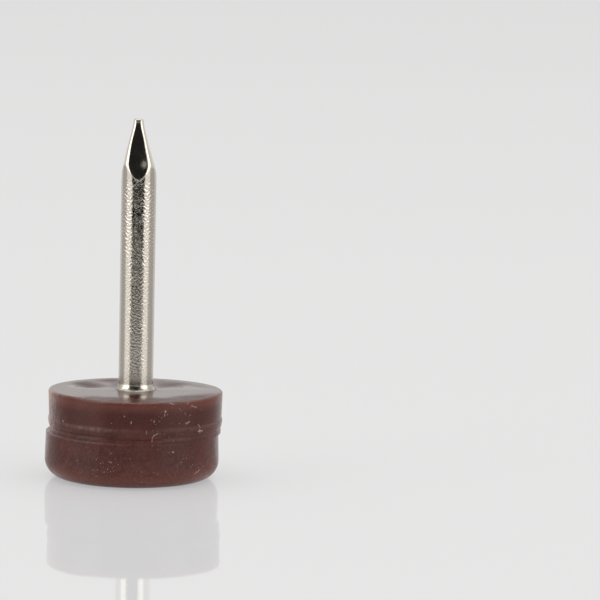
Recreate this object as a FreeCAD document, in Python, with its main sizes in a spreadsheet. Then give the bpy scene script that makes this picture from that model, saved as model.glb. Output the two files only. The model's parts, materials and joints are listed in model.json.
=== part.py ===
import FreeCAD, Part
import os
import Sketcher

# Nail-on furniture glide: a round plastic foot moulded round the head of a steel nail.
# Z is the nail's axis, with the point up. The sliding face lies on z = 0, and the seat face,
# which ends up against the furniture leg, is the flat top of the plastic.

# Driving sizes: alias, value in millimetres, what it measures
SIZES = (
    ("body_diameter", "15.0", "widest ring of the plastic foot"),
    ("body_height", "7.5", "sliding face to seat face"),
    ("wall_taper", "0.06", "how far the wall of each half draws in towards the parting line"),
    ("foot_round", "1.6", "round between the sliding face and the wall"),
    ("rim_round", "0.2", "round along the edge of the seat face"),
    ("parting_height", "4.0", "height of the line where the two halves of the mould met"),
    ("mould_shift", "0.24", "how far the lower half sits off the nail's axis, towards -X"),
    ("lip_height", "0.22", "plain lip just above the parting line"),
    ("groove_width", "0.28", "groove above the lip, along the wall"),
    ("groove_depth", "0.12", "groove above the lip, into the wall"),
    ("bead_width", "0.7", "bead above the groove, along the wall"),
    ("bead_proud", "0.07", "bead above the groove, out of the wall"),
    ("shank_diameter", "3.0", "plain round shank of the nail"),
    ("nail_reach", "23.5", "seat face to the end of the nail"),
    ("point_length", "5.05", "length of the flats that make the point"),
    ("point_flats", "4", "number of flats on the point"),
    ("tip_width", "0.85", "blunt end of the point, across its flats"),
    ("neck_flare", "0.28", "how far the neck spreads past the shank at the seat face"),
    ("neck_height", "0.5", "seat face to the top of the neck's flare"),
    ("head_diameter", "7.0", "flat head that holds the nail in the plastic"),
    ("head_thickness", "1.2", "flat head that holds the nail in the plastic"),
    ("head_floor", "2.2", "plastic between the sliding face and the nail's head"),
)

# Derived places, as expressions of the sheet
AXIS = "0"
BODY_RADIUS = "Sizes.body_diameter / 2"
PARTING_RADIUS = "Sizes.body_diameter / 2 - Sizes.wall_taper"
LIP_TOP = "Sizes.parting_height + Sizes.lip_height"
GROOVE_TOP = f"{LIP_TOP} + Sizes.groove_width"
BEAD_TOP = f"{GROOVE_TOP} + Sizes.bead_width"
SEAT = "Sizes.body_height"
SHANK_RADIUS = "Sizes.shank_diameter / 2"
NECK_RADIUS = "Sizes.shank_diameter / 2 + Sizes.neck_flare"
NECK_TOP = "Sizes.body_height + Sizes.neck_height"
NAIL_END = "Sizes.body_height + Sizes.nail_reach"
HEAD_RADIUS = "Sizes.head_diameter / 2"
HEAD_TOP = "Sizes.head_floor + Sizes.head_thickness"

TOUCH = 1e-6


def arc_radius(half_chord, rise):
    """Radius of an arc that rises this far over half its chord, as an expression."""
    return f"(({half_chord}) ^ 2 + ({rise}) ^ 2) / (2 * ({rise}))"


GROOVE_RADIUS = arc_radius("Sizes.groove_width / 2", "Sizes.groove_depth")
BEAD_RADIUS = arc_radius("Sizes.bead_width / 2", "Sizes.bead_proud")
NECK_ROUND = arc_radius("Sizes.neck_height", "Sizes.neck_flare")


def make_sheet(doc):
    """The spreadsheet of driving sizes."""
    sheet = doc.addObject("Spreadsheet::Sheet", "Sizes")
    for row, (alias, value, meaning) in enumerate(SIZES, start=1):
        sheet.set(f"A{row}", meaning)
        sheet.set(f"B{row}", value)
        sheet.setAlias(f"B{row}", alias)
    doc.recompute()
    return sheet


def upright_sketch(body, name):
    """A sketch on the body's XZ plane: its x is the distance from the axis, its y the height."""
    sketch = body.newObject("Sketcher::SketchObject", name)
    planes = {feature.Role: feature for feature in body.Origin.OriginFeatures}
    sketch.AttachmentSupport = [(planes["XZ_Plane"], "")]
    sketch.MapMode = "FlatFace"
    return sketch


def place(sketch, corner):
    """Where a corner of an outline lies on its sketch."""
    return FreeCAD.Vector(sketch.evalExpression(corner[0]), sketch.evalExpression(corner[1]), 0)


def arc_through(start, end, radius, side):
    """The arc that runs up from start to end, to the right of its chord if proud, else to the left."""
    chord = end - start
    rise = radius - (radius ** 2 - (chord.Length / 2) ** 2) ** 0.5
    rightwards = FreeCAD.Vector(chord.y, -chord.x, 0).normalize()
    middle = (start + end) / 2
    if side == "proud":
        return Part.Arc(start, middle + rightwards * rise, end)
    return Part.Arc(end, middle - rightwards * rise, start)


def hold(sketch, constraint, expression):
    """Add a dimension whose value follows the sheet."""
    index = sketch.addConstraint(constraint)
    sketch.setExpression(f"Constraints[{index}]", expression)


def hold_corner(sketch, edge, end, corner):
    """Fix a corner of the outline at its distance from the axis and its height."""
    for kind, expression, axis in (("DistanceX", corner[0], -2), ("DistanceY", corner[1], -1)):
        if expression == AXIS:
            sketch.addConstraint(Sketcher.Constraint("PointOnObject", edge, end, axis))
        else:
            value = sketch.evalExpression(expression)
            hold(sketch, Sketcher.Constraint(kind, -1, 1, edge, end, value), expression)


def draw_outline(sketch, corners):
    """Close an outline, anticlockwise, with every corner and arc held by the sheet.

    A corner is (x, height), or (x, height, side, radius) where the stretch that leads to it is
    an arc: proud of its chord, away from the axis, or hollow.
    """
    places = [place(sketch, corner) for corner in corners]
    ends = []
    for index, corner in enumerate(corners):
        start, end = places[index - 1], places[index]
        if len(corner) == 2:
            sketch.addGeometry(Part.LineSegment(start, end))
            ends.append((1, 2))
        else:
            side, radius = corner[2:]
            sketch.addGeometry(arc_through(start, end, sketch.evalExpression(radius), side))
            ends.append((1, 2) if side == "proud" else (2, 1))
    for index, corner in enumerate(corners):
        following = (index + 1) % len(corners)
        last = ends[index][1]
        sketch.addConstraint(Sketcher.Constraint("Coincident", index, last, following, ends[following][0]))
        hold_corner(sketch, index, last, corner)
        if len(corner) > 2:
            radius = corner[3]
            hold(sketch, Sketcher.Constraint("Radius", index, sketch.evalExpression(radius)), radius)


def turn(body, kind, name, sketch):
    """Turn a sketch once round its upright axis, to add to the body or to cut it."""
    feature = body.newObject(f"PartDesign::{kind}", name)
    feature.Profile = sketch
    feature.ReferenceAxis = (sketch, ["V_Axis"])
    feature.Angle = 360
    return feature


def round_rim(body, name, height, radius):
    """Round the longest edge that lies flat at this height."""
    doc = body.Document
    doc.recompute()
    base = body.Tip
    level = base.evalExpression(height)
    flat = {}
    for index, edge in enumerate(base.Shape.Edges, start=1):
        box = edge.BoundBox
        if abs(box.ZMin - level) < TOUCH and abs(box.ZMax - level) < TOUCH:
            flat[edge.Length] = f"Edge{index}"
    feature = body.newObject("PartDesign::Fillet", name)
    feature.Base = (base, [flat[max(flat)]])
    feature.setExpression("Radius", radius)
    return feature


def make_nail(doc):
    """The nail: flat head, flared neck and shank turned in one profile, then the flats of its point."""
    body = doc.addObject("PartDesign::Body", "Nail")
    body.Label = "nail"

    profile = upright_sketch(body, "NailProfile")
    draw_outline(profile, (
        (AXIS, "Sizes.head_floor"),
        (HEAD_RADIUS, "Sizes.head_floor"),
        (HEAD_RADIUS, HEAD_TOP),
        (NECK_RADIUS, HEAD_TOP),
        (NECK_RADIUS, SEAT),
        (SHANK_RADIUS, NECK_TOP, "hollow", NECK_ROUND),
        (SHANK_RADIUS, NAIL_END),
        (AXIS, NAIL_END),
    ))
    turn(body, "Revolution", "NailBlank", profile)

    # The flats would meet at an apex on the axis, above the blunt end. Each one cuts a wedge away
    # that reaches twice the shank's radius out, with the flat as its sloping side.
    steepness = f"(Sizes.point_length / ({SHANK_RADIUS} - Sizes.tip_width / 2))"
    apex = f"{NAIL_END} + Sizes.tip_width / 2 * {steepness}"
    wedge = upright_sketch(body, "PointFlat")
    draw_outline(wedge, (
        (AXIS, apex),
        ("Sizes.shank_diameter", f"{apex} - Sizes.shank_diameter * {steepness}"),
        ("Sizes.shank_diameter", apex),
    ))
    flat = body.newObject("PartDesign::Pocket", "FirstFlat")
    flat.Profile = wedge
    flat.SideType = "Symmetric"
    flat.setExpression("Length", "2 * Sizes.shank_diameter")

    flats = body.newObject("PartDesign::PolarPattern", "Flats")
    flats.Originals = [flat]
    flats.Axis = (profile, ["V_Axis"])
    flats.Angle = 360
    flats.setExpression("Occurrences", "Sizes.point_flats")
    body.Tip = flats
    return body


def make_glide_body(doc):
    """The plastic foot: collar and ring round the nail's axis, the lower half a little off it."""
    body = doc.addObject("PartDesign::Body", "GlideBody")
    body.Label = "glide_body"

    upper = upright_sketch(body, "UpperHalf")
    draw_outline(upper, (
        (AXIS, "Sizes.parting_height"),
        (PARTING_RADIUS, "Sizes.parting_height"),
        (PARTING_RADIUS, LIP_TOP),
        (PARTING_RADIUS, GROOVE_TOP, "hollow", GROOVE_RADIUS),
        (PARTING_RADIUS, BEAD_TOP, "proud", BEAD_RADIUS),
        (BODY_RADIUS, SEAT),
        (AXIS, SEAT),
    ))
    turn(body, "Revolution", "CollarAndRing", upper)

    lower = upright_sketch(body, "LowerHalf")
    lower.setExpression("AttachmentOffset.Base.x", "-Sizes.mould_shift")
    draw_outline(lower, (
        (AXIS, AXIS),
        (BODY_RADIUS, AXIS),
        (PARTING_RADIUS, "Sizes.parting_height"),
        (AXIS, "Sizes.parting_height"),
    ))
    turn(body, "Revolution", "Foot", lower)

    # The plastic closes on the nail's head and neck face to face
    seat = upright_sketch(body, "NailSeat")
    draw_outline(seat, (
        (AXIS, "Sizes.head_floor"),
        (HEAD_RADIUS, "Sizes.head_floor"),
        (HEAD_RADIUS, HEAD_TOP),
        (NECK_RADIUS, HEAD_TOP),
        (NECK_RADIUS, SEAT),
        (AXIS, SEAT),
    ))
    turn(body, "Groove", "NailCavity", seat)

    round_rim(body, "SeatRim", SEAT, "Sizes.rim_round")
    round_rim(body, "FootRound", AXIS, "Sizes.foot_round")
    return body


def check_features(doc, bodies):
    """Stop if anything failed, or if a cut or an addition left its body as it was."""
    failed = [item.Label for item in doc.Objects if {"Invalid", "Error"} & set(item.State)]
    if failed:
        raise RuntimeError(f"failed: {', '.join(failed)}")
    for body in bodies:
        if body.Shape.isNull() or not body.Shape.isValid() or len(body.Shape.Solids) != 1:
            raise RuntimeError(f"{body.Label} isn't one sound solid")
        volume = 0.0
        for feature in body.Group:
            if feature.isDerivedFrom("PartDesign::Feature"):
                if abs(feature.Shape.Volume - volume) < TOUCH:
                    raise RuntimeError(f"{feature.Label} changes nothing")
                volume = feature.Shape.Volume


def main():
    doc = FreeCAD.newDocument("glide")
    make_sheet(doc)
    bodies = [make_glide_body(doc), make_nail(doc)]
    doc.recompute()
    check_features(doc, bodies)
    os.makedirs("parts", exist_ok=True)
    for body in bodies:
        body.Shape.exportStep(f"parts/{body.Label}.step")
        print(body.Label, round(body.Shape.Volume, 3), "mm3")


main()
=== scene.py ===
import json
import math

import bpy
import numpy as np
from bpy.props import FloatProperty, FloatVectorProperty, PointerProperty
from mathutils import Matrix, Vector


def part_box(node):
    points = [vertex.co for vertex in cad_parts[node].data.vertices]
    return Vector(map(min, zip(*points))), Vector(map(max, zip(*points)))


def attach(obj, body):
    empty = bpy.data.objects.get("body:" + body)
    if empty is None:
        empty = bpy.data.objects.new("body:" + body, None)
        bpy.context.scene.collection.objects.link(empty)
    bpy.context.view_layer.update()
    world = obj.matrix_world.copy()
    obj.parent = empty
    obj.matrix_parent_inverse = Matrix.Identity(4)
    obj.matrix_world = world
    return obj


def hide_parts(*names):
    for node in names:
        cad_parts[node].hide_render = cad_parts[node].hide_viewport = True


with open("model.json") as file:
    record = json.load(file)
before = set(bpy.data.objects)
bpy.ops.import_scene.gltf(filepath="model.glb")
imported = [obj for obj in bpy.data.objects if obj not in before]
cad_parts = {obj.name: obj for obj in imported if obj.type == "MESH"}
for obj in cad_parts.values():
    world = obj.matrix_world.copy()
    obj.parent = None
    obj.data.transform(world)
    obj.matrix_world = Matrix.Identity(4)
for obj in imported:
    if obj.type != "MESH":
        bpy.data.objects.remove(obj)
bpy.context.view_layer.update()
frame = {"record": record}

bl_info = {
    "name": "Nail-on Furniture Glide",
    "version": (1, 0, 0),
    "blender": (4, 5, 0),
    "location": "3D View > Sidebar > Glide",
    "description": "A plastic furniture glide moulded on a plated nail, on a plain studio floor",
    "category": "Add Mesh",
}

# The imported solids: their boxes and mounts give the sizes
FOOT_LOW, FOOT_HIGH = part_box("glide_body")
NAIL_LOW, NAIL_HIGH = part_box("nail")
MOUNTS = {mount["name"]: mount for mount in frame["record"]["mounts"]}
SHANK_RADIUS_MM = MOUNTS["nail_shank"]["dims"]["r_mm"]

MM = 0.001
FRAME_PIXELS = 600
SENSOR_WIDTH = 36.0

# Grid columns round each piece, and how far the foot's crowd to the front, from 0 to 1
FOOT_COLUMNS = 480
NAIL_COLUMNS = 180
FRONT_CROWDING = 0.7

# Seeds of the uneven forms
FLOW_SEED = 1
PARTING_FLASH_SEED = 2
NECK_FLASH_SEED = 11
WORN_EDGE_SEED = 12
GRAIN_SEED = 21
FLATS_SEED = 23
RING_SEED = 24
NECK_SHADE_SEED = 25


def size_property(name, millimetres, description):
    """A length in metres, given here in millimetres."""
    return FloatProperty(name=name, description=description, default=millimetres * MM, unit="LENGTH",
                         precision=6)


def angle_property(name, degrees, description):
    """An angle in radians, given here in degrees."""
    return FloatProperty(name=name, description=description, default=math.radians(degrees), subtype="ANGLE")


def colour_property(name, colour, description):
    """A linear colour that a user can pick, with full cover."""
    return FloatVectorProperty(name=name, description=description, default=(*colour, 1.0), subtype="COLOR",
                               size=4, min=0.0, max=1.0)


def level_property(name, level, description):
    """A plain number from 0 up."""
    return FloatProperty(name=name, description=description, default=level, min=0.0)


class FootSettings(bpy.types.PropertyGroup):
    """Sizes and colours of the moulded plastic foot"""

    diameter: size_property("Diameter", (FOOT_HIGH.y - FOOT_LOW.y) / MM, "Widest ring of the foot")
    height: size_property("Height", FOOT_HIGH.z / MM, "Sliding face to seat face")
    foot_round: size_property("Foot Round", 1.6, "Round between the sliding face and the wall")
    rim_round: size_property("Rim Round", 0.2, "Round along the edge of the seat face")
    worn_width: size_property("Worn Width", 2.4, "How far in the seat face's worn front reaches")
    worn_drop: size_property("Worn Drop", 0.15, "How far the seat face falls away over its worn front")
    wall_taper: size_property("Wall Taper", 0.06, "How far each half draws in towards the parting line")
    parting_height: size_property("Parting Height", 4.0, "Height of the line between the mould's halves")
    mould_shift: size_property("Mould Shift", 0.24, "How far the lower half sits off the nail's axis")
    lip_height: size_property("Lip Height", 0.3, "Plain lip just above the parting line")
    lip_inset: size_property("Lip Inset", 0.045, "How far the lip stands back")
    groove_width: size_property("Groove Width", 0.28, "Groove above the lip, along the wall")
    groove_depth: size_property("Groove Depth", 0.07, "Groove above the lip, into the wall")
    bead_width: size_property("Bead Width", 0.7, "Bead above the groove, along the wall")
    bead_proud: size_property("Bead Proud", 0.07, "Bead above the groove, out of the wall")
    bead_crest: level_property("Bead Crest", 0.8, "Share of the bead's width at which it stands out most")
    edge_round: size_property("Edge Round", 0.1, "Round on the lower half's edge at the parting line")
    seat_tilt: size_property("Seat Tilt", 0.2, "How much higher the seat face is at the front")
    mound_height: size_property("Mound Height", 0.02, "Plastic drawn up round the nail")
    sink_depth: size_property("Sink Depth", 0.23, "Deepest shallow sink mark in the seat face")
    flash_height: size_property("Flash Height", 0.009, "Thin flash along the parting line and at the nail")
    flow_height: size_property("Flow Height", 0.006, "Slow waves of the wall")
    lint_height: size_property("Lint Height", 0.01, "How far lint stands out of the wall")
    colour: colour_property("Colour", (0.103, 0.028, 0.022), "Brown of the plastic")
    # Redder brown of the darker flow marks, and also of the painted shade band under the rim
    flow_and_shade_colour: colour_property("Deep Colour", (0.074, 0.017, 0.013), "Redder brown of darker flow marks")
    # A darker copy of the brown for the seat face: painted shade on the face that looks up
    seat_shade_colour: colour_property("Seat Colour", (0.059, 0.0145, 0.0108), "Duller brown of the seat face")
    # Lighter brown of the painted glow under the rim and the painted bounce light at the foot's edge
    edge_glow_colour: colour_property("Edge Colour", (0.176, 0.055, 0.038), "Lighter brown of rim and foot edge")
    # Dust, lint and scuffs, and also the paler colour of the painted sheen and highlights
    dust_and_sheen_colour: colour_property("Dust Colour", (0.60, 0.48, 0.43), "Dust, lint and scuffs")


class NailSettings(bpy.types.PropertyGroup):
    """Sizes and colours of the plated nail"""

    shank_diameter: size_property("Shank Diameter", 2 * SHANK_RADIUS_MM, "Plain round shank")
    end_height: size_property("End Height", NAIL_HIGH.z / MM, "Sliding face to the end of the nail")
    neck_flare: size_property("Neck Flare", 0.28, "How far the neck spreads past the shank")
    neck_height: size_property("Neck Height", 0.7, "Seat face to the top of the neck's flare")
    head_diameter: size_property("Head Diameter", (NAIL_HIGH.x - NAIL_LOW.x) / MM, "Head inside the plastic")
    head_thickness: size_property("Head Thickness", 1.2, "Head inside the plastic")
    head_floor: size_property("Head Floor", NAIL_LOW.z / MM, "Plastic under the head")
    tip_width: size_property("Tip Width", 0.80, "Blunt end of the point, across its flats")
    tip_round: size_property("Tip Round", 0.2, "Round on the edge of the blunt end")
    point_width: size_property("Point Width", 0.60, "Where the flats would meet the end, across them")
    side_slope: level_property("Side Slope", 0.256, "How fast the side flats spread down from the end")
    front_slope: level_property("Front Slope", 0.236, "How fast the front and back flats spread")
    point_skew: size_property("Point Skew", 0.1, "How far the point leans to the left")
    point_blend: size_property("Point Blend", 0.025, "How softly the flats run out into the shank")
    grain_size: size_property("Grain Size", 0.22, "Wavelength of the hammered grain on the shank")
    grain_depth: size_property("Grain Depth", 0.0042, "Depth of the hammered grain on the shank")
    wave_depth: size_property("Wave Depth", 0.004, "Slow waves of the point's flats")
    ring_depth: size_property("Ring Depth", 0.015, "Uneven ring low on the neck")
    colour: colour_property("Colour", (0.615, 0.572, 0.510), "Warm nickel plating")
    # A painted dark reflection in a ring above the plastic
    neck_shade_colour: colour_property("Dull Colour", (0.20, 0.17, 0.13), "Stained ring above the plastic")
    # Painted shade in the grain's low spots
    shade_colour: colour_property("Shade Colour", (0.46, 0.40, 0.32), "Duller plating in the low spots")


class StudioSettings(bpy.types.PropertyGroup):
    """Floor, light and camera"""

    floor_colour: colour_property("Floor Colour", (0.797, 0.795, 0.803), "Pale floor near the glide")
    # The floor darker far behind: a painted fall-off of light
    far_colour: colour_property("Far Colour", (0.713, 0.711, 0.719), "Pale floor far behind the glide")
    floor_glow: level_property("Floor Glow", 0.64, "Share of the floor's look that no shadow reaches")
    floor_gloss: level_property("Floor Gloss", 0.22, "Share of its light that is a mirror image")
    light_colour: colour_property("Light Colour", (1.0, 1.0, 0.98), "Colour of all the light")
    overhead: level_property("Overhead", 1.45, "Soft light from above")
    backdrop: level_property("Backdrop", 0.91, "Pale backdrop behind and beside the glide")
    softbox: level_property("Softboxes", 2.7, "Low softboxes at the front left and right")
    room: level_property("Room", 0.02, "Dim room behind the camera")
    focal_pixels: level_property("Focal Length", 4564.5, "Focal length in pixels of the square image")
    camera_place: FloatVectorProperty(name="Camera Place", description="Where the camera stands", size=3,
                                      default=(0.013992, -0.388678, 0.066734), subtype="TRANSLATION")
    camera_pitch: angle_property("Camera Pitch", 7.489, "How far the camera looks down")
    camera_roll: angle_property("Camera Roll", 1.174, "How far the camera leans")


# Shapes

def straight(start, end, count):
    """Points on a straight stretch of a profile, as (radius, height), without its last point."""
    share = np.linspace(0.0, 1.0, count, endpoint=False)[:, None]
    return np.array(start) + share * (np.array(end) - np.array(start))


def bend(centre, radius, start_angle, end_angle, count):
    """Points on an arc of a profile, between two angles in degrees, without its last point."""
    angle = np.radians(np.linspace(start_angle, end_angle, count, endpoint=False))
    return np.array(centre) + radius * np.stack([np.cos(angle), np.sin(angle)], axis=1)


def bulge(start, end, rise, count):
    """Points on an arc from start up to end that rises this far out of its chord, or into it if negative."""
    start, end = np.array(start), np.array(end)
    share = np.linspace(0.0, 1.0, count, endpoint=False)[:, None]
    outward = np.array([end[1] - start[1], start[0] - end[0]]) / np.linalg.norm(end - start)
    return start + share * (end - start) + 4 * share * (1 - share) * rise * outward


def quarter_wave(start, end, count):
    """Points from start to end along a quarter of a sine wave, steep at start and upright at end."""
    share = np.linspace(0.0, 1.0, count, endpoint=False)
    radius = start[0] + (end[0] - start[0]) * np.sin(share * math.pi / 2)
    return np.stack([radius, start[1] + (end[1] - start[1]) * share], axis=1)


def smooth_step(low, high, value):
    """0 below low, 1 above high, and a smooth S between them."""
    share = np.clip((value - low) / (high - low), 0.0, 1.0)
    return share * share * (3 - 2 * share)


def hump(value, half_width):
    """1 where the value is 0, falling off smoothly on both sides to 1/e at the half width."""
    return np.exp(-(value / half_width) ** 2)


def soft_minimum(first, second, blend):
    """The smaller of two values, rounded over where they cross."""
    return (first + second) / 2 - np.sqrt(((first - second) / 2) ** 2 + blend ** 2)


def soft_maximum(first, second, blend):
    """The larger of two values, rounded over where they cross."""
    return (first + second) / 2 + np.sqrt(((first - second) / 2) ** 2 + blend ** 2)


def ripple(angle, height, seed, waves, around, along):
    """A seeded sum of sine waves, about 1 high: whole numbers around, any number per metre along."""
    random = np.random.default_rng(seed)
    total = np.zeros(np.broadcast(angle, height).shape)
    for _ in range(waves):
        turns = random.integers(around[0], around[1] + 1)
        rate = random.uniform(along[0], along[1]) * random.choice((-1, 1))
        phase = random.uniform(0, 2 * math.pi)
        total += np.sin(turns * angle + 2 * math.pi * rate * height + phase)
    return total * math.sqrt(2 / waves)


def random_grain(angle, height, radius, seed, waves, wavelengths):
    """A seeded sum of sine waves on an unrolled round wall, about 1 high, with crests mostly across it."""
    random = np.random.default_rng(seed)
    total = np.zeros(np.broadcast(angle, height).shape)
    for _ in range(waves):
        rate = 1 / random.uniform(*wavelengths)
        lean = math.radians(random.uniform(30, 150))
        turns = round(2 * math.pi * radius * rate * math.cos(lean))
        phase = random.uniform(0, 2 * math.pi)
        total += np.sin(turns * angle + 2 * math.pi * rate * math.sin(lean) * height + phase)
    return total * math.sqrt(2 / waves)


def turned_by(angle, place):
    """Angle from a place in degrees from the front, between minus and plus half a turn."""
    return (angle - math.radians(place - 90) + math.pi) % (2 * math.pi) - math.pi


def closed_grid(name, points, attributes):
    """A mesh of rings of points, from a pole on the axis to another pole, with a value per point."""
    rings = points[1:-1]
    count, columns = rings.shape[:2]
    index = 1 + np.arange(count * columns).reshape(count, columns)
    following = np.roll(index, -1, axis=1)
    quads = np.stack([index[:-1], following[:-1], following[1:], index[1:]], axis=-1).reshape(-1, 4)
    last = 1 + count * columns
    poles = np.zeros(columns, dtype=int)
    fans = np.concatenate([
        np.stack([poles, following[0], index[0]], axis=-1),
        np.stack([index[-1], following[-1], poles + last], axis=-1),
    ])
    places = np.concatenate([points[:1, 0], rings.reshape(-1, 3), points[-1:, 0]])
    mesh = bpy.data.meshes.new(name)
    mesh.from_pydata(places.tolist(), [], quads.tolist() + fans.tolist())
    mesh.shade_smooth()
    for key, values in attributes.items():
        flat = np.concatenate([values[:1, 0], values[1:-1].ravel(), values[-1:, 0]])
        mesh.attributes.new(key, "FLOAT", "POINT").data.foreach_set("value", flat.astype(np.float32))
    mesh.update()
    piece = bpy.data.objects.new(name, mesh)
    bpy.context.scene.collection.objects.link(piece)
    return piece


# Wear of the foot, with painted highlights and sheen

# Lint and scratches on the foot's wall: angle from the front in degrees, right positive, height in mm,
# length in mm, lean from level in degrees, width in mm, and how pale it is
MARKS = (
    (-53.5, 5.4, 0.08, 90, 0.09, 0.9),
    (-5, 6.35, 0.05, 90, 0.07, 0.7),
    (-0.5, 5.85, 0.15, 80, 0.06, 0.9),
    (14.5, 5.95, 0.15, 90, 0.06, 0.8),
    (18, 5.95, 0.05, 90, 0.06, 0.45),
    (19.5, 6.25, 0.05, 90, 0.06, 0.4),
    (21.5, 6.45, 0.15, 90, 0.06, 0.65),
    (22, 6.75, 0.05, 90, 0.12, 1),
    (23.5, 6.5, 0.05, 60, 0.06, 0.55),
    (26.5, 7.4, 0.4, -15, 0.07, 0.55),
    (36.5, 6.5, 0.05, 90, 0.08, 0.5),
    (38.5, 7.35, 0.1, 90, 0.08, 0.7),
    (40.5, 6.3, 0.05, 40, 0.08, 0.4),
    (42.5, 7.05, 0.35, -15, 0.07, 0.55),
    (45, 6.95, 0.2, -35, 0.08, 0.6),
    (39, 5.7, 0.4, 25, 0.065, 0.8),
    (49, 5.3, 0.3, -55, 0.08, 0.5),
    (50, 4.85, 0.55, -5, 0.07, 0.85),
    (49.5, 4.85, 0.35, 95, 0.08, 0.85),
    (9.5, 5.05, 0.25, 90, 0.05, 0.5),
    (16, 4.85, 0.35, 25, 0.05, 0.8),
    (14, 4.65, 0.35, 60, 0.05, 0.75),
    (13.5, 4.35, 0.3, 80, 0.05, 0.65),
    (30, 3.25, 0.12, -25, 0.08, 0.85),
    (49, 1.25, 0.3, 55, 0.07, 0.65),
    (51.5, 1.35, 0.3, 50, 0.07, 0.65),
    (-11.5, 2.4, 0.05, 90, 0.07, 0.8),
    (-16, 1.55, 0.05, 90, 0.07, 0.6),
)

# Where fine dust gathers: angle from the front in degrees, height in mm, half widths in the same, density;
# then its density everywhere, and the seat face's share of it
DUSTY = (
    (30, 6.8, 16, 0.7, 0.14),
    (22, 4.7, 18, 0.9, 0.04),
    (-18, 2.0, 7, 0.9, 0.40),
    (-8, 1.6, 30, 1.0, 0.05),
    (42, 1.8, 16, 0.8, 0.12),
)
EVEN_DUST = 0.009
SEAT_DUST = 0.4

# The scuffed stretch of the collar, with painted sheen along its left edge: angle of its middle from the
# front and half width, in degrees, and the heights between which it begins
SCUFF_SHEEN_PLACE = -82
SCUFF_SHEEN_WIDTH = 16
SCUFF_SHEEN_HEIGHTS = (3.9 * MM, 5.2 * MM)

# Painted highlights on the bead and on the edge under it, its brink: where they are palest, partly rubbed,
# in the same terms;
# the half heights of the highlights; and how pale they are all round and how much paler where rubbed
RUBBED_HIGHLIGHT_PLACE = -26
RUBBED_HIGHLIGHT_WIDTH = 14
CREST_DROP = 0.16 * MM
CREST_HALF = 0.17 * MM
CREST_HIGHLIGHT_LEVELS = (0.07, 0.24)
BRINK_HALF = 0.09 * MM
BRINK_HIGHLIGHT_LEVELS = (0.09, 0.2)

# The painted highlight of the rim: where it is palest, partly rubbed, how far under the seat face it begins
# and is full, and how pale it is
RIM_PLACE = -15
RIM_WIDTH = 60
RIM_START = 0.17 * MM
RIM_FULL = 0.08 * MM
RIM_HIGHLIGHT_LEVEL = 0.23

# Shallow sink marks of the seat face: x and y in mm, half widths in mm, share of the deepest;
# and the shares of the foot's radius between which they fade out
SINKS = (
    (-4.6, 2.6, 0.65, 0.9, 0.9),
    (-3.7, 2.2, 0.65, 0.9, 0.9),
    (-2.7, 2.2, 0.6, 0.9, 0.5),
    (-1.8, 2.8, 0.45, 1.0, 1.0),
    (-2.2, 4.6, 0.9, 1.1, 0.7),
    (1.9, 4.4, 0.7, 1.0, 0.4),
    (3.1, 3.5, 0.8, 0.8, 0.9),
    (2.0, 2.6, 0.5, 0.9, 0.8),
    (5.0, 2.4, 1.3, 0.9, 0.2),
)
SINK_FADE = (0.78, 0.93)

# The worn front of the seat face: degrees from the front over which it begins, on the left, and ends;
# how uneven its inner edge is; the curve of its fall; and the share of its width by which it is full rough
WORN_BEGINS = (-48, -18)
WORN_ENDS = (40, 90)
WORN_UNEVEN = 0.06
WORN_POWER = 1.25
WORN_FULL = 0.35

# How far the seat face runs on inside the nail's neck, out of sight, and how far it drops there per row
SEAT_TUCK = 0.12 * MM
TUCK_DROP = 0.1 * MM

# Reach of the plastic drawn up at the nail and of the flash on it, and how ragged the flash is
MOUND_REACH = 0.55 * MM
FLASH_REACH = 0.1 * MM
FLASH_RAGGED = 0.8

# Ring of the seat face, along its rim, with closer rows
CLOSE_RING = 1.5 * MM


def strokes(marks, angle, height, radius):
    """How far short straight strokes on the unrolled wall cover each point, 0 to 1."""
    cover = np.zeros(np.broadcast(angle, height).shape)
    for place, level, length, lean, width, pale in marks:
        around = radius * turned_by(angle, place)
        up = height - level * MM
        lean = math.radians(lean)
        along = around * math.cos(lean) + up * math.sin(lean)
        aside = up * math.cos(lean) - around * math.sin(lean)
        beyond = np.maximum(np.abs(along) - length * MM / 2, 0.0)
        cover = np.maximum(cover, pale * np.exp(-(beyond ** 2 + aside ** 2) / (width * MM / 2) ** 2))
    return cover


def dust_density(angle, height):
    """How dense the fine dust is: a thin even cover and a few soft clouds."""
    density = np.full(np.broadcast(angle, height).shape, EVEN_DUST)
    for place, level, half_turn, half_height, share in DUSTY:
        around = turned_by(angle, place) / math.radians(half_turn)
        up = (height - level * MM) / (half_height * MM)
        density += share * np.exp(-around ** 2 - up ** 2)
    return density


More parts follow.
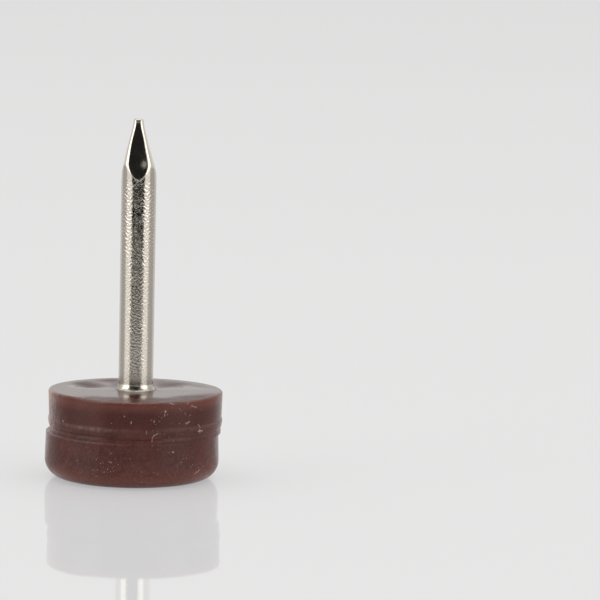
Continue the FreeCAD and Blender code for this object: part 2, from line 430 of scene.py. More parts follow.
def painted_highlights_and_scuffs(foot, angle, height, lower):
    """Pale cover of the wall: scuffs with painted sheen on a stretch, and painted highlights, palest where
    rubbed, on the bead, its brink and the rim.
    """
    bead_top = bead_top_height(foot)
    scuff_sheen = hump(turned_by(angle, SCUFF_SHEEN_PLACE), math.radians(SCUFF_SHEEN_WIDTH))
    scuff_sheen = scuff_sheen * smooth_step(*SCUFF_SHEEN_HEIGHTS, height)
    rubbed_highlight = hump(turned_by(angle, RUBBED_HIGHLIGHT_PLACE), math.radians(RUBBED_HIGHLIGHT_WIDTH))
    crest = hump(height - bead_top + CREST_DROP, CREST_HALF) * (CREST_HIGHLIGHT_LEVELS[0] + CREST_HIGHLIGHT_LEVELS[1] * rubbed_highlight)
    brink = hump(height - foot.parting_height, BRINK_HALF) * (BRINK_HIGHLIGHT_LEVELS[0] + BRINK_HIGHLIGHT_LEVELS[1] * rubbed_highlight)
    rim = smooth_step(foot.height - RIM_START, foot.height - RIM_FULL, height)
    rim = rim * RIM_HIGHLIGHT_LEVEL * hump(turned_by(angle, RIM_PLACE), math.radians(RIM_WIDTH))
    return scuff_sheen + crest + lower * brink + rim


def worn_front(foot, x, y):
    """How far out a point lies on the seat face's worn front: 0 at its ragged inner edge, 1 at the rim.

    It is the share of the way across a ring along the rim, faded out round the axis on both sides.
    """
    angle = np.arctan2(y, x)
    turned = turned_by(angle, 0)
    front = smooth_step(*np.radians(WORN_BEGINS), turned)
    front = front * (1 - smooth_step(*np.radians(WORN_ENDS), turned))
    uneven = 1 + WORN_UNEVEN * ripple(angle, 0.0, WORN_EDGE_SEED, 10, (4, 30), (0, 0))
    outward = (np.hypot(x, y) - foot.diameter / 2) / (foot.worn_width * uneven) + 1
    return front * np.clip(outward, 0.0, 1.0)


def seat_relief(foot, x, y, collar):
    """Height of the seat face over its flat: a tilt, less broad sinks and the fall of the worn front.

    Plastic drawn up and ragged flash, both humps of the distance from the collar, are added at the nail.
    """
    distance = np.hypot(x, y)
    angle = np.arctan2(y, x)
    tilt = foot.seat_tilt * (0.5 - y / foot.diameter)
    sinks = np.zeros(x.shape)
    for centre_x, centre_y, width, depth, share in SINKS:
        across = ((x / MM - centre_x) / width) ** 2 + ((y / MM - centre_y) / depth) ** 2
        sinks += share * foot.sink_depth * np.exp(-across / 2)
    sinks *= 1 - smooth_step(*SINK_FADE, distance / (foot.diameter / 2))
    mound = foot.mound_height * hump(distance - collar, MOUND_REACH)
    ragged = 1 + FLASH_RAGGED * ripple(angle, 0.0, NECK_FLASH_SEED, 9, (5, 40), (0, 0))
    flash = foot.flash_height * hump(distance - collar, FLASH_REACH) * ragged
    return tilt - sinks + mound + flash - foot.worn_drop * worn_front(foot, x, y) ** WORN_POWER


# Foot

def front_dense_angles(columns):
    """Angles round the axis, closer together at the front, where the finest wear is."""
    even = np.linspace(-math.pi, math.pi, columns, endpoint=False)
    return (even - FRONT_CROWDING * np.sin(even) - math.pi / 2)[None, :]


def bead_top_height(foot):
    """Height of the top of the bead."""
    return foot.parting_height + foot.lip_height + foot.groove_width + foot.bead_width


def foot_profile(foot, nail):
    """The foot's turned outline, from the sliding face's centre to the floor of the nail's cavity.

    Returns (radius, height) rows and, for each row, the name of the stretch that it belongs to.
    """
    radius = foot.diameter / 2
    waist = radius - foot.wall_taper
    edge = foot.edge_round
    parting = foot.parting_height
    lip_top = parting + foot.lip_height
    lip = waist - foot.lip_inset
    groove_top = lip_top + foot.groove_width
    bead_top = bead_top_height(foot)
    crest = groove_top + foot.bead_crest * foot.bead_width
    proud = waist + foot.bead_proud
    neck = nail.shank_diameter / 2 + nail.neck_flare
    collar = neck - SEAT_TUCK
    head = nail.head_diameter / 2
    head_low = nail.head_floor
    head_top = head_low + nail.head_thickness
    flat = radius - foot.foot_round
    rim = radius - foot.rim_round
    close = rim - CLOSE_RING
    stretches = {
        "face": straight((0, 0), (flat, 0), 8),
        "foot": bend((flat, foot.foot_round), foot.foot_round, -90, 0, 28),
        "lower wall": straight((radius, foot.foot_round), (waist, parting - edge), 42),
        "lower edge": bend((waist - edge, parting - edge), edge, 0, 64, 5),
        "lip": straight((lip, parting), (lip, lip_top), 4),
        "groove": bulge((lip, lip_top), (waist, groove_top), -foot.groove_depth, 8),
        "bead": quarter_wave((waist, groove_top), (proud, crest), 8),
        "shoulder": quarter_wave((waist, bead_top), (proud, crest), 8)[::-1],
        "upper wall": straight((waist, bead_top), (radius, foot.height - foot.rim_round), 44)[1:],
        "rim": bend((rim, foot.height - foot.rim_round), foot.rim_round, 0, 90, 8),
        "seat edge": straight((rim, foot.height), (close, foot.height), 13),
        "seat": straight((close, foot.height), (collar, foot.height), 20),
        "collar": np.array([[collar, foot.height], [neck, foot.height - TUCK_DROP]]),
        "hole": straight((neck, foot.height - 2 * TUCK_DROP), (neck, head_top), 2),
        "head": np.array([[neck, head_top], [head, head_top], [head, head_low], [0, head_low]]),
    }
    rows = np.concatenate(list(stretches.values()))
    kinds = np.repeat(list(stretches), [len(stretch) for stretch in stretches.values()])
    return rows, kinds


def rows_of(kinds, *names):
    """1 for the rows of the named stretches and 0 for the others, as a column."""
    return np.isin(kinds, names).astype(float)[:, None]


def foot_surface(foot, nail):
    """Points of the foot, its wear and its painted highlights.

    Each row of the outline is turned round Z: x = r cos(a) - shift, y = r sin(a), where only the rows of
    the lower half are shifted. Flow waves, flash and lint move the wall a little, and the seat face's
    relief lifts the rows above the bead, more and more up to the rim.
    """
    rows, kinds = foot_profile(foot, nail)
    angle = front_dense_angles(FOOT_COLUMNS)
    radius = np.repeat(rows[:, :1], FOOT_COLUMNS, axis=1)
    height = np.repeat(rows[:, 1:], FOOT_COLUMNS, axis=1)
    collar = nail.shank_diameter / 2 + nail.neck_flare - SEAT_TUCK
    lower = rows_of(kinds, "face", "foot", "lower wall", "lower edge")
    edges = rows_of(kinds, "lower edge", "lip")
    inside = rows_of(kinds, "hole", "head")
    seat = rows_of(kinds, "seat edge", "seat", "collar")
    wall = 1 - rows_of(kinds, "face") - seat - inside

    lint = wall * strokes(MARKS, angle, height, foot.diameter / 2)
    specks = dust_density(angle, height) * (wall + SEAT_DUST * seat)
    # Painted sheen and highlights of the wall, with its scuffs
    sheen_and_scuffs = wall * painted_highlights_and_scuffs(foot, angle, height, lower)

    radius = radius + wall * foot.flow_height * ripple(angle, height, FLOW_SEED, 14, (2, 11), (0, 160))
    flash = foot.flash_height * ripple(angle, 0.0, PARTING_FLASH_SEED, 16, (3, 34), (0, 0))
    radius = radius + edges * flash + foot.lint_height * lint
    x = radius * np.cos(angle) - foot.mould_shift * lower
    y = radius * np.sin(angle)
    rising = (1 - inside) * smooth_step(bead_top_height(foot), foot.height - foot.rim_round, height)
    z = height + rising * seat_relief(foot, x, y, collar)
    worn = seat * smooth_step(0.0, WORN_FULL, worn_front(foot, x, y))
    seat = np.broadcast_to(seat, x.shape)
    wear_and_painted_light = {"lint": lint, "specks": specks, "sheen_and_scuffs": sheen_and_scuffs, "seat": seat, "worn": worn}
    return np.stack([x, y, z], axis=-1), wear_and_painted_light


# Nail

# Distances below the nail's end: rows of the point and of its blunt end, where the flats have run out,
# where the grain begins, and over which the point's lean fades out
POINT_ZONE = 5.6 * MM
TIP_ZONE = 0.5 * MM
ROUND_BEGINS = 5.4 * MM
GRAIN_BEGINS = 4.4 * MM
LEAN_FADES = (2.0 * MM, 4.9 * MM)

# How softly the flats turn into the upright sides of the blunt end
END_BLEND = 0.05 * MM

# Power of the point's rounded square at the end and down the flats, and the distances over which it grows
END_POWER = 2.4
FLAT_POWER = 4.0
POWER_GROWS = (0.3 * MM, 2.2 * MM)

# A rubbed spot on the front flat: place right of the axis and below the end, and half width and height
RUB_PLACE = (0.46 * MM, 3.85 * MM)
RUB_SIZE = (0.26 * MM, 0.34 * MM)

# Heights over the seat face of the neck's uneven ring and of its painted dark reflection, how strong and
# uneven that painted shade is, and the spots left out of it where highlights fall, in degrees to both sides
# of the front
RING_PLACE = 0.28 * MM
RING_HALF = 0.2 * MM
NECK_SHADE_FADES = (0.3 * MM, 0.75 * MM)
NECK_SHADE_LEVEL = 0.75
NECK_SHADE_UNEVEN = 0.2
UNSHADED_PLACE = 28
UNSHADED_WIDTH = 17

# The grain's depth: heights over the seat face where it ends, its share under the point, and the
# distances below the end over which it deepens
GRAIN_ENDS = (0.4 * MM, 2.6 * MM)
GRAIN_TOP = 0.55
GRAIN_DEEPENS = (6 * MM, 14 * MM)

# Outside a front stretch of this half width in degrees: the share that the grain loses near the point and
# low on the shank, and the distances over which that changes
FRONT_HALF = 26
LOSS_TOP = -0.9
LOSS_LOW = 0.7
LOSS_CHANGES = (6 * MM, 15 * MM)


def nail_profile(foot, nail):
    """The nail's turned outline, from under its head to its end, as (half width, height) rows."""
    shank = nail.shank_diameter / 2
    neck = shank + nail.neck_flare
    head = nail.head_diameter / 2
    head_top = nail.head_floor + nail.head_thickness
    neck_top = foot.height + nail.neck_height
    end = nail.end_height
    round_radius = (nail.neck_height ** 2 + nail.neck_flare ** 2) / (2 * nail.neck_flare)
    spread = math.degrees(math.asin(nail.neck_height / round_radius))
    return np.concatenate([
        straight((0, nail.head_floor), (head, nail.head_floor), 3),
        straight((head, nail.head_floor), (head, head_top), 2),
        straight((head, head_top), (neck, head_top), 2),
        straight((neck, head_top), (neck, foot.height), 3),
        bend((shank + round_radius, neck_top), round_radius, 180 + spread, 180, 14),
        straight((shank, neck_top), (shank, end - POINT_ZONE), 420),
        straight((shank, end - POINT_ZONE), (shank, end - TIP_ZONE), 54),
        straight((shank, end - TIP_ZONE), (shank, end - nail.tip_round), 8),
        bend((shank - nail.tip_round, end - nail.tip_round), nail.tip_round, 0, 90, 6),
        straight((shank - nail.tip_round, end), (0, end), 4),
        [[0, end]],
    ])


def point_section(nail, angle, below):
    """The nail's radius near its point, as a share of the shank's.

    The section is the rounded square |x/a|^p + |y/b|^p = 1, whose half widths a and b grow down from the
    end. A soft minimum joins its radius to the shank's, so that four flats run out into the round shank.
    """
    shank = nail.shank_diameter / 2
    start = nail.point_width / 2
    end = nail.tip_width / 2
    side = soft_maximum(start + nail.side_slope * below, end, END_BLEND)
    front = soft_maximum(start + nail.front_slope * below, end, END_BLEND)
    power = END_POWER + (FLAT_POWER - END_POWER) * smooth_step(*POWER_GROWS, below)
    powers = np.abs(np.cos(angle) / side) ** power + np.abs(np.sin(angle) / front) ** power
    square = powers ** (-1 / power)
    return soft_minimum(square, np.full_like(square, shank), nail.point_blend) / shank


def grain_share(foot, angle, height, below):
    """How deep the grain is: it begins under the point, grows down the shank and ends over the neck.

    Away from the front it is deeper near the point and shallower low on the shank.
    """
    share = smooth_step(*GRAIN_ENDS, height - foot.height) * smooth_step(GRAIN_BEGINS, POINT_ZONE, below)
    share = share * (GRAIN_TOP + (1 - GRAIN_TOP) * smooth_step(*GRAIN_DEEPENS, below))
    loss = LOSS_TOP + (LOSS_LOW - LOSS_TOP) * smooth_step(*LOSS_CHANGES, below)
    aside = 1 - np.exp(-(turned_by(angle, 0) / math.radians(FRONT_HALF)) ** 4)
    return share * (1 - loss * aside)


def nail_surface(foot, nail):
    """Points of the nail, its wear and its painted shade.

    Each row of the outline is turned round Z, and near the end its radius is that of the point's section.
    A seeded grain, with crests mostly across the shank, slow waves on the flats and an uneven ring at the
    neck are added to the radius, and the point leans to the left.
    """
    rows = nail_profile(foot, nail)
    angle = np.linspace(-math.pi, math.pi, NAIL_COLUMNS, endpoint=False)[None, :]
    width, height = rows[:, :1], rows[:, 1:]
    shank = nail.shank_diameter / 2
    below = nail.end_height - height
    flats = point_section(nail, angle, below)
    pointed = 1 - smooth_step(ROUND_BEGINS, POINT_ZONE, below)
    inset = np.where(below < TIP_ZONE, width - shank, 0.0)
    radius = np.where(below < POINT_ZONE, shank * (1 + pointed * (flats - 1)) + inset, width)
    end_width = shank - nail.tip_round
    tiny = 1e-9
    on_end = (below < tiny) & (width < end_width + tiny)
    radius = np.where(on_end, width / end_width * (shank * flats - nail.tip_round), radius)

    wavelengths = (0.75 * nail.grain_size, 1.6 * nail.grain_size)
    grain = random_grain(angle, height, shank, GRAIN_SEED, 90, wavelengths)
    grain = grain_share(foot, angle, height, below) * grain
    point = 1 - smooth_step(GRAIN_BEGINS, POINT_ZONE, below)
    waves = point * (radius / shank) * ripple(angle, height, FLATS_SEED, 12, (2, 9), (80, 420))
    above = height - foot.height
    ring = hump(above - RING_PLACE, RING_HALF) * ripple(angle, height, RING_SEED, 20, (3, 14), (0, 500))
    radius = radius + nail.grain_depth * grain + nail.wave_depth * waves + nail.ring_depth * ring
    skew = nail.point_skew * (1 - smooth_step(*LEAN_FADES, below))
    x = radius * np.cos(angle) - skew
    y = radius * np.sin(angle)
    z = np.broadcast_to(height, x.shape)

    rub = hump(x - RUB_PLACE[0], RUB_SIZE[0]) * hump(below - RUB_PLACE[1], RUB_SIZE[1]) * (y < 0)
    # Painted dark reflection low on the neck, left out at the spots where highlights fall
    unshaded = hump(np.abs(turned_by(angle, 0)) - math.radians(UNSHADED_PLACE), math.radians(UNSHADED_WIDTH))
    low = 1 - smooth_step(*NECK_SHADE_FADES, above)
    neck_shade_strength = NECK_SHADE_LEVEL + NECK_SHADE_UNEVEN * ripple(angle, height, NECK_SHADE_SEED, 16, (3, 14), (0, 500))
    wear_and_painted_light = {"grain": np.broadcast_to(grain, x.shape), "rub": rub, "neck_shade": low * (1 - unshaded) * neck_shade_strength}
    return np.stack([x, y, z], axis=-1), wear_and_painted_light


# Shader nodes

def add_node(tree, kind, inputs=None, **settings):
    """Add a node, set its options, and give its inputs values or links."""
    made = tree.nodes.new(kind)
    for name, value in settings.items():
        setattr(made, name, value)
    for key, value in (inputs or {}).items():
        if isinstance(value, bpy.types.NodeSocket):
            tree.links.new(value, made.inputs[key])
        else:
            made.inputs[key].default_value = value
    return made


def compute(tree, operation, *values):
    """The result of a Math node."""
    return add_node(tree, "ShaderNodeMath", dict(enumerate(values)), operation=operation).outputs[0]


def multiply(tree, first, second):
    """Two values multiplied."""
    return compute(tree, "MULTIPLY", first, second)


def add(tree, first, second):
    """Two values added."""
    return compute(tree, "ADD", first, second)


def rest_of(tree, share):
    """What a share leaves of 1."""
    return compute(tree, "SUBTRACT", 1.0, share)


def remap(tree, value, low, high, to_low=0.0, to_high=1.0):
    """A value carried smoothly from one range to another, and held at its ends."""
    inputs = {"Value": value, "From Min": low, "From Max": high, "To Min": to_low, "To Max": to_high}
    return add_node(tree, "ShaderNodeMapRange", inputs, interpolation_type="SMOOTHSTEP").outputs["Result"]


def window(tree, value, middle, half, soft):
    """1 within half of the middle, fading to 0 over the soft edge beyond."""
    away = compute(tree, "ABSOLUTE", compute(tree, "SUBTRACT", value, middle))
    return remap(tree, away, half, half + soft, 1.0, 0.0)


def angle_window(tree, angle, middle, half, soft):
    """A window over an angle, given in degrees."""
    return window(tree, angle, math.radians(middle), math.radians(half), math.radians(soft))


def blend_colours(tree, share, first, second):
    """A colour between two, by a share."""
    inputs = {0: share, 6: first, 7: second}
    return add_node(tree, "ShaderNodeMix", inputs, data_type="RGBA").outputs[2]


def noise(tree, vector, scale, detail=3.0, roughness=0.55):
    """Smooth noise on Object coordinates: scale is in cells per metre."""
    inputs = {"Vector": vector, "Scale": scale, "Detail": detail, "Roughness": roughness}
    return add_node(tree, "ShaderNodeTexNoise", inputs).outputs["Fac"]


def fine_specks(tree, place, scale, density):
    """Small round specks in some cells of a random grid: density is the share of cells that have one."""
    cells = add_node(tree, "ShaderNodeTexVoronoi", {"Vector": place, "Scale": scale})
    chance = add_node(tree, "ShaderNodeSeparateColor", {"Color": cells.outputs["Color"]}).outputs["Red"]
    there = compute(tree, "LESS_THAN", chance, density)
    paleness = compute(tree, "DIVIDE", compute(tree, "SUBTRACT", density, chance), density)
    shape = multiply(tree, remap(tree, cells.outputs["Distance"], 0.36, 0.14), there)
    return multiply(tree, shape, paleness)


def attribute(tree, name):
    """A value that a piece's points carry."""
    return add_node(tree, "ShaderNodeAttribute", attribute_name=name).outputs["Fac"]


def axes_of(tree, vector):
    """The X, Y and Z of a vector."""
    return add_node(tree, "ShaderNodeSeparateXYZ", {"Vector": vector}).outputs


def stretched(tree, vector, along):
    """Object coordinates scaled along Z."""
    inputs = {"Vector": vector, "Scale": (1.0, 1.0, along)}
    return add_node(tree, "ShaderNodeMapping", inputs).outputs["Vector"]


def roughen(tree, shader, height, distance):
    """Give a shader's surface a fine skin that is this many metres deep."""
    bump = add_node(tree, "ShaderNodeBump", {"Height": height, "Distance": distance})
    tree.links.new(bump.outputs["Normal"], shader.inputs["Normal"])


def new_material(name):
    """An empty material with its output, its Principled shader and Object coordinates."""
    material = bpy.data.materials.new(name)
    material.use_nodes = True
    tree = material.node_tree
    tree.nodes.clear()
    shader = add_node(tree, "ShaderNodeBsdfPrincipled")
    add_node(tree, "ShaderNodeOutputMaterial", {"Surface": shader.outputs["BSDF"]})
    return material, tree, shader, add_node(tree, "ShaderNodeTexCoord").outputs["Object"]


# Materials

# Cells per metre of the plastic's textures
FLOW_CELLS = 420.0
MOTTLE_CELLS = 4200.0
STREAK_CELLS = 2600.0
SPECK_CELLS = 8000.0
GRIT_CELLS = 9500.0
SCRATCH_CELLS = 1500.0
SKIN_CELLS = 6000.0
SKIN_DEPTH = 1.0e-6

# Painted shade band of the wall, a dark reflection painted into its brown: height of its middle, half height
# and soft edge, and x over which it comes in
SHADE_BAND = (6.15 * MM, 0.45 * MM, 0.7 * MM)
SHADE_BAND_X = (-3.5 * MM, 0.5 * MM)

# Heights over which the painted glow under the rim grows and fades, the painted bounce light at the foot's
# edge grows, and the mottling grows
RIM_GLOW_HEIGHTS = (6.4 * MM, 7.25 * MM)
RIM_GLOW_FADE = (7.25 * MM, 7.45 * MM)
FOOT_GLOW_HEIGHTS = (2.2 * MM, -0.1 * MM)
MOTTLE_HEIGHTS = (6.0 * MM, 1.5 * MM)

# Cells per metre of the plating's textures
PATCH_CELLS = 900.0
CRACKLE_CELLS = 6500.0
CRACKLE_DEPTH = 11.0e-6

# The crackle begins this far below the nail's end, and deepens between these heights
CRACKLE_BEGINS = 4.9 * MM
CRACKLE_HEIGHTS = (25.0 * MM, 17.0 * MM)


def plastic_brown(tree, foot, place, seat):
    """The plastic's colour: flow marks, a painted shade band under the rim, a darker seat face that is
    painted shade, and painted glow at the rim and the foot's edge.
    """
    axes = axes_of(tree, place)
    height = axes["Z"]
    flow = remap(tree, noise(tree, place, FLOW_CELLS), 0.35, 0.65)
    # Painted shade: a dark reflection painted as a band under the rim, weaker on the left
    painted_shade_band = window(tree, height, *SHADE_BAND)
    painted_shade_band = multiply(tree, painted_shade_band, remap(tree, axes["X"], *SHADE_BAND_X, 0.4, 1.0))
    light = multiply(tree, flow, rest_of(tree, painted_shade_band))
    brown = blend_colours(tree, light, foot.flow_and_shade_colour, foot.colour)
    # Painted shade: the seat face takes the darker seat colour
    brown = blend_colours(tree, seat, brown, foot.seat_shade_colour)
    # Painted light: a paler glow under the rim and at the foot's edge, kept off the seat face
    rim = remap(tree, height, *RIM_GLOW_HEIGHTS, 0.0, 0.85)
    rim = multiply(tree, rim, remap(tree, height, *RIM_GLOW_FADE, 1.0, 0.5))
    rim = multiply(tree, rim, rest_of(tree, seat))
    painted_glow = compute(tree, "MAXIMUM", rim, remap(tree, height, *FOOT_GLOW_HEIGHTS, 0.0, 1.5))
    return blend_colours(tree, multiply(tree, painted_glow, 0.7), brown, foot.edge_glow_colour)


def plastic_material(foot):
    """Semi-gloss brown plastic with a mottled skin, scuffs with painted sheen and highlights, lint, dust and
    a rougher worn seat.
    """
    material, tree, shader, place = new_material("brown_plastic")
    seat = attribute(tree, "seat")
    height = axes_of(tree, place)["Z"]
    brown = plastic_brown(tree, foot, place, seat)

    mottle = remap(tree, noise(tree, place, MOTTLE_CELLS, detail=4.0, roughness=0.75), 0.42, 0.68)
    low_mottle = multiply(tree, mottle, remap(tree, height, *MOTTLE_HEIGHTS, 0.35, 1.0))
    drawn = noise(tree, stretched(tree, place, 0.4), STREAK_CELLS, detail=5.0, roughness=0.7)
    # Painted sheen and highlights, with the scuffs, streaked along the wall
    sheen_and_scuffs = multiply(tree, attribute(tree, "sheen_and_scuffs"), remap(tree, drawn, 0.36, 0.66, 0.25, 1.0))
    speck = fine_specks(tree, place, SPECK_CELLS, attribute(tree, "specks"))
    grit = fine_specks(tree, place, GRIT_CELLS, 0.5)
    pale = add(tree, multiply(tree, speck, 0.95), multiply(tree, grit, 0.06))
    pale = add(tree, pale, multiply(tree, low_mottle, 0.06))
    pale = add(tree, pale, multiply(tree, sheen_and_scuffs, 0.66))
    pale = compute(tree, "MAXIMUM", pale, attribute(tree, "lint"))
    tree.links.new(blend_colours(tree, pale, brown, foot.dust_and_sheen_colour), shader.inputs["Base Color"])

    rough = compute(tree, "SUBTRACT", 0.20, multiply(tree, seat, 0.04))
    rough = add(tree, rough, multiply(tree, mottle, 0.04))
    scratches = noise(tree, place, SCRATCH_CELLS, detail=5.0, roughness=0.7)
    scratches = remap(tree, scratches, 0.3, 0.7, 0.10, 0.26)
    rough = add(tree, rough, multiply(tree, attribute(tree, "worn"), scratches))
    rough = add(tree, rough, multiply(tree, compute(tree, "MAXIMUM", pale, sheen_and_scuffs), 0.3))
    tree.links.new(rough, shader.inputs["Roughness"])
    roughen(tree, shader, noise(tree, place, SKIN_CELLS), SKIN_DEPTH)
    shader.inputs["IOR"].default_value = 1.33
    shader.inputs["Subsurface Weight"].default_value = 0.5
    shader.inputs["Subsurface Radius"].default_value = (1.0, 0.4, 0.3)
    shader.inputs["Subsurface Scale"].default_value = 1.0 * MM
    return material


def plated_material(nail):
    """Warm nickel plating with painted shade in the grain's low spots, rougher on a rubbed spot, and a
    painted dark reflection, also rougher, at the neck.
    """
    material, tree, shader, place = new_material("plated_steel")
    neck_shade = attribute(tree, "neck_shade")
    low = rest_of(tree, remap(tree, attribute(tree, "grain"), -1.4, 0.6))
    # Painted shade: the grain's low spots darker
    colour = blend_colours(tree, multiply(tree, low, 0.7), nail.colour, nail.shade_colour)
    # Painted dark reflection at the neck
    colour = blend_colours(tree, multiply(tree, neck_shade, 0.7), colour, nail.neck_shade_colour)
    tree.links.new(colour, shader.inputs["Base Color"])

    patches = remap(tree, noise(tree, place, PATCH_CELLS), 0.35, 0.7)
    rough = add(tree, 0.12, multiply(tree, patches, 0.06))
    rough = add(tree, rough, multiply(tree, attribute(tree, "rub"), 0.42))
    rough = add(tree, rough, multiply(tree, neck_shade, 0.2))
    tree.links.new(rough, shader.inputs["Roughness"])

    height = axes_of(tree, place)["Z"]
    end = nail.end_height
    shank = remap(tree, height, end - CRACKLE_BEGINS, end - POINT_ZONE, 0.05, 1.0)
    shank = multiply(tree, shank, remap(tree, height, *CRACKLE_HEIGHTS, 0.55, 1.0))
    crackle = noise(tree, stretched(tree, place, 1.6), CRACKLE_CELLS, detail=2.0)
    roughen(tree, shader, multiply(tree, crackle, shank), CRACKLE_DEPTH)
    shader.inputs["Metallic"].default_value = 1.0
    return material


# Stage

# The floor, in metres: half its width, how far under the sliding face it lies, and y over which its colour
# fades darker, a painted fall-off of light
FLOOR_HALF = 3.0
FLOOR_DROP = 0.02 * MM
FLOOR_FADES = (-0.2, 0.8)

# Dark cards on the floor that only mirror images show: middle, half width and soft edge in degrees
# from the front, how far away the front one begins, and how dark the side ones are
FRONT_CARD = (0, 38, 6)
FRONT_CARD_BEGINS = (0.070, 0.110)
SIDE_CARDS = (104, 20, 6)
SIDE_CARD_SHARE = 0.3

# Directions of the light, in degrees from the front, right positive, and up: middle, half width and soft
# edge, or where it begins and where it is full
SOFTBOX_SIDES = (-62, 57)
SOFTBOX_WIDTH = (19, 3)
SOFTBOX_RISE = (11, 13, 4)
ROOM_SIDE = (0, 42, 8)
ROOM_BEGINS = (1, 6)
OVERHEAD_BEGINS = (42, 58)


def floor_material(studio):
    """A pale floor with a faint mirror image; in metal and plastic it shows dark cards that lie on it."""
    material, tree, shader, place = new_material("floor")
    tree.nodes.remove(shader)
    path = add_node(tree, "ShaderNodeLightPath").outputs
    axes = axes_of(tree, place)
    # Painted fall-off of light: the floor darker far behind
    far = remap(tree, axes["Y"], *FLOOR_FADES)
    colour = blend_colours(tree, far, studio.floor_colour, studio.far_colour)
    seen = compute(tree, "MAXIMUM", path["Is Camera Ray"], path["Is Glossy Ray"])
    seen = compute(tree, "MAXIMUM", seen, path["Is Transmission Ray"])
    glow_share = multiply(tree, seen, studio.floor_glow)
    matte = add_node(tree, "ShaderNodeBsdfDiffuse", {"Color": colour}).outputs[0]
    glow = add_node(tree, "ShaderNodeEmission", {"Color": colour}).outputs[0]
    mirror = add_node(tree, "ShaderNodeBsdfGlossy", {"Roughness": 0.03}).outputs[0]
    body = add_node(tree, "ShaderNodeMixShader", {0: glow_share, 1: matte, 2: glow}).outputs[0]
    polished = add_node(tree, "ShaderNodeMixShader", {0: studio.floor_gloss, 1: body, 2: mirror}).outputs[0]
    side = compute(tree, "ARCTAN2", axes["X"], multiply(tree, axes["Y"], -1.0))
    away = add_node(tree, "ShaderNodeVectorMath", {0: place}, operation="LENGTH").outputs["Value"]
    front_card = angle_window(tree, side, *FRONT_CARD)
    front_card = multiply(tree, front_card, remap(tree, away, *FRONT_CARD_BEGINS))
    side_cards = angle_window(tree, compute(tree, "ABSOLUTE", side), *SIDE_CARDS)
    side_cards = multiply(tree, side_cards, SIDE_CARD_SHARE)
    card = multiply(tree, compute(tree, "MAXIMUM", front_card, side_cards), path["Is Glossy Ray"])
    black = add_node(tree, "ShaderNodeEmission", {"Strength": 0.0}).outputs[0]
    both = add_node(tree, "ShaderNodeMixShader", {0: card, 1: polished, 2: black}).outputs[0]
    output = next(item for item in tree.nodes if item.type == "OUTPUT_MATERIAL")
    tree.links.new(both, output.inputs["Surface"])
    return material


def studio_floor(studio):
    """A level square, a hair under the sliding face."""
    signs = ((-1, -1), (1, -1), (1, 1), (-1, 1))
    corners = [(x * FLOOR_HALF, y * FLOOR_HALF, -FLOOR_DROP) for x, y in signs]
    mesh = bpy.data.meshes.new("floor")
    mesh.from_pydata(corners, [], [(0, 1, 2, 3)])
    mesh.materials.append(floor_material(studio))
    card = bpy.data.objects.new("floor", mesh)
    bpy.context.scene.collection.objects.link(card)


def studio_world(studio):
    """Light by direction: overhead, a backdrop all round, two low softboxes and a dim room at the front."""
    world = bpy.data.worlds.new("studio")
    bpy.context.scene.world = world
    world.use_nodes = True
    tree = world.node_tree
    tree.nodes.clear()
    axes = axes_of(tree, add_node(tree, "ShaderNodeTexCoord").outputs["Generated"])
    side = compute(tree, "ARCTAN2", axes["X"], multiply(tree, axes["Y"], -1.0))
    rise = compute(tree, "ARCSINE", axes["Z"])
    room = angle_window(tree, side, *ROOM_SIDE)
    room = multiply(tree, room, remap(tree, rise, *np.radians(ROOM_BEGINS)))
    level = add(tree, studio.backdrop, multiply(tree, room, studio.room - studio.backdrop))
    for middle in SOFTBOX_SIDES:
        box = angle_window(tree, side, middle, *SOFTBOX_WIDTH)
        box = multiply(tree, box, angle_window(tree, rise, *SOFTBOX_RISE))
        level = add(tree, level, multiply(tree, box, studio.softbox - studio.backdrop))
    above = remap(tree, rise, *np.radians(OVERHEAD_BEGINS))
    over = multiply(tree, compute(tree, "SUBTRACT", studio.overhead, level), above)
    inputs = {"Color": studio.light_colour, "Strength": add(tree, level, over)}
    light = add_node(tree, "ShaderNodeBackground", inputs)
    add_node(tree, "ShaderNodeOutputWorld", {"Surface": light.outputs[0]})


def studio_camera(studio):
    """The camera at the photograph's place: it looks along +Y, a little down, with a slight lean."""
    data = bpy.data.cameras.new("camera")
    data.sensor_width = SENSOR_WIDTH
    data.lens = studio.focal_pixels / FRAME_PIXELS * SENSOR_WIDTH
    data.clip_start = 0.01
    data.clip_end = 20.0
    camera = bpy.data.objects.new("camera", data)
    bpy.context.scene.collection.objects.link(camera)
    tilt = Matrix.Rotation(math.pi / 2 - studio.camera_pitch, 4, "X")
    lean = Matrix.Rotation(studio.camera_roll, 4, "Z")
    camera.matrix_world = Matrix.Translation(studio.camera_place) @ tilt @ lean
    bpy.context.scene.camera = camera


# Operators

def settle(piece, material, node):
    """Give a finished piece its material and its place in the frame."""
    piece.data.materials.append(material)
    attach(piece, "root")
    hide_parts(node)


class GLIDE_OT_foot(bpy.types.Operator):
    """Build the moulded plastic foot"""

    bl_idname = "glide.foot"
    bl_label = "Moulded Foot"

    def execute(self, context):
        foot, nail = context.scene.glide_foot, context.scene.glide_nail
        points, wear_and_painted_light = foot_surface(foot, nail)
        piece = closed_grid("moulded_foot", points, wear_and_painted_light)
        settle(piece, plastic_material(foot), "glide_body")
        return {"FINISHED"}


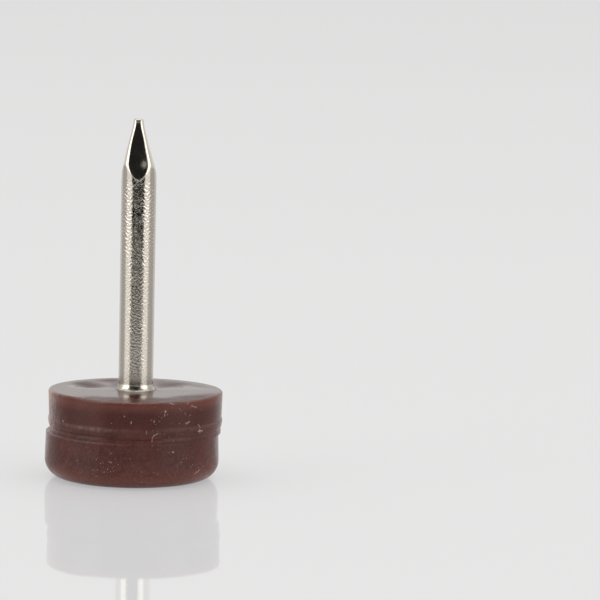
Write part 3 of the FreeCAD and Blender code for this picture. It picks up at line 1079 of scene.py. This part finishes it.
class GLIDE_OT_nail(bpy.types.Operator):
    """Build the plated nail"""

    bl_idname = "glide.nail"
    bl_label = "Plated Nail"

    def execute(self, context):
        foot, nail = context.scene.glide_foot, context.scene.glide_nail
        points, wear_and_painted_light = nail_surface(foot, nail)
        piece = closed_grid("plated_nail", points, wear_and_painted_light)
        settle(piece, plated_material(nail), "nail")
        return {"FINISHED"}


class GLIDE_OT_stage(bpy.types.Operator):
    """Lay the floor, set the light and place the camera"""

    bl_idname = "glide.stage"
    bl_label = "Stage"

    def execute(self, context):
        studio = context.scene.glide_studio
        studio_floor(studio)
        studio_world(studio)
        studio_camera(studio)
        context.scene.view_settings.view_transform = "Standard"
        return {"FINISHED"}


class GLIDE_PT_panel(bpy.types.Panel):
    """Sizes, colours and steps of the glide"""

    bl_idname = "GLIDE_PT_panel"
    bl_label = "Furniture Glide"
    bl_space_type = "VIEW_3D"
    bl_region_type = "UI"
    bl_category = "Glide"

    def draw(self, context):
        groups = (
            (context.scene.glide_foot, GLIDE_OT_foot),
            (context.scene.glide_nail, GLIDE_OT_nail),
            (context.scene.glide_studio, GLIDE_OT_stage),
        )
        for settings, operator in groups:
            box = self.layout.box()
            for name in settings.__annotations__:
                box.prop(settings, name)
            box.operator(operator.bl_idname)


CLASSES = (FootSettings, NailSettings, StudioSettings,
           GLIDE_OT_foot, GLIDE_OT_nail, GLIDE_OT_stage, GLIDE_PT_panel)


def register():
    """Make the settings, operators and panel known to Blender."""
    for item in CLASSES:
        bpy.utils.register_class(item)
    bpy.types.Scene.glide_foot = PointerProperty(type=FootSettings)
    bpy.types.Scene.glide_nail = PointerProperty(type=NailSettings)
    bpy.types.Scene.glide_studio = PointerProperty(type=StudioSettings)


def unregister():
    """Take the settings, operators and panel out again."""
    del bpy.types.Scene.glide_studio
    del bpy.types.Scene.glide_nail
    del bpy.types.Scene.glide_foot
    for item in reversed(CLASSES):
        bpy.utils.unregister_class(item)


def main():
    """Build the glide and its stage."""
    register()
    bpy.ops.glide.foot()
    bpy.ops.glide.nail()
    bpy.ops.glide.stage()


if __name__ == "__main__":
    main()
